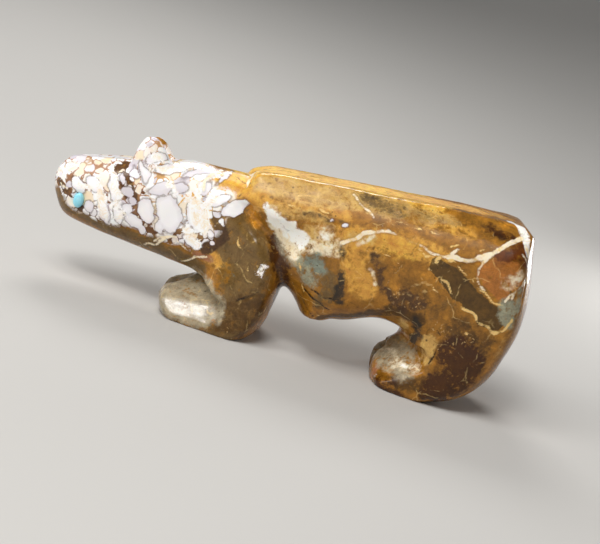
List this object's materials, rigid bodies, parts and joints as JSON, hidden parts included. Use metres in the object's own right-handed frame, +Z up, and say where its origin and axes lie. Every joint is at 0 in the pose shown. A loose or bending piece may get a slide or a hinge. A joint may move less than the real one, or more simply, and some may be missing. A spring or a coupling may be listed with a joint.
{
  "type": "zuni fetish bear carving",
  "caption": "Small standing bear carved from mottled stone, with a flat sloping back, short legs and inlaid oval eyes.",
  "frame": {"origin": "middle of the footprint, on the surface that the feet stand on", "axes": "+X towards the rump, -X towards the nose, -Y out of the left flank, +Z up"},
  "size_m": [0.0906, 0.0236, 0.0356],
  "materials": {
    "mottled_stone": "polished jasper-like stone in ochre, brown and olive, with pale nodules on the head",
    "turquoise": "polished turquoise"
  },
  "bodies": {
    "root": {"carved_bear": "mottled_stone", "left_eye": "turquoise", "right_eye": "turquoise"}
  },
  "joints": []
}
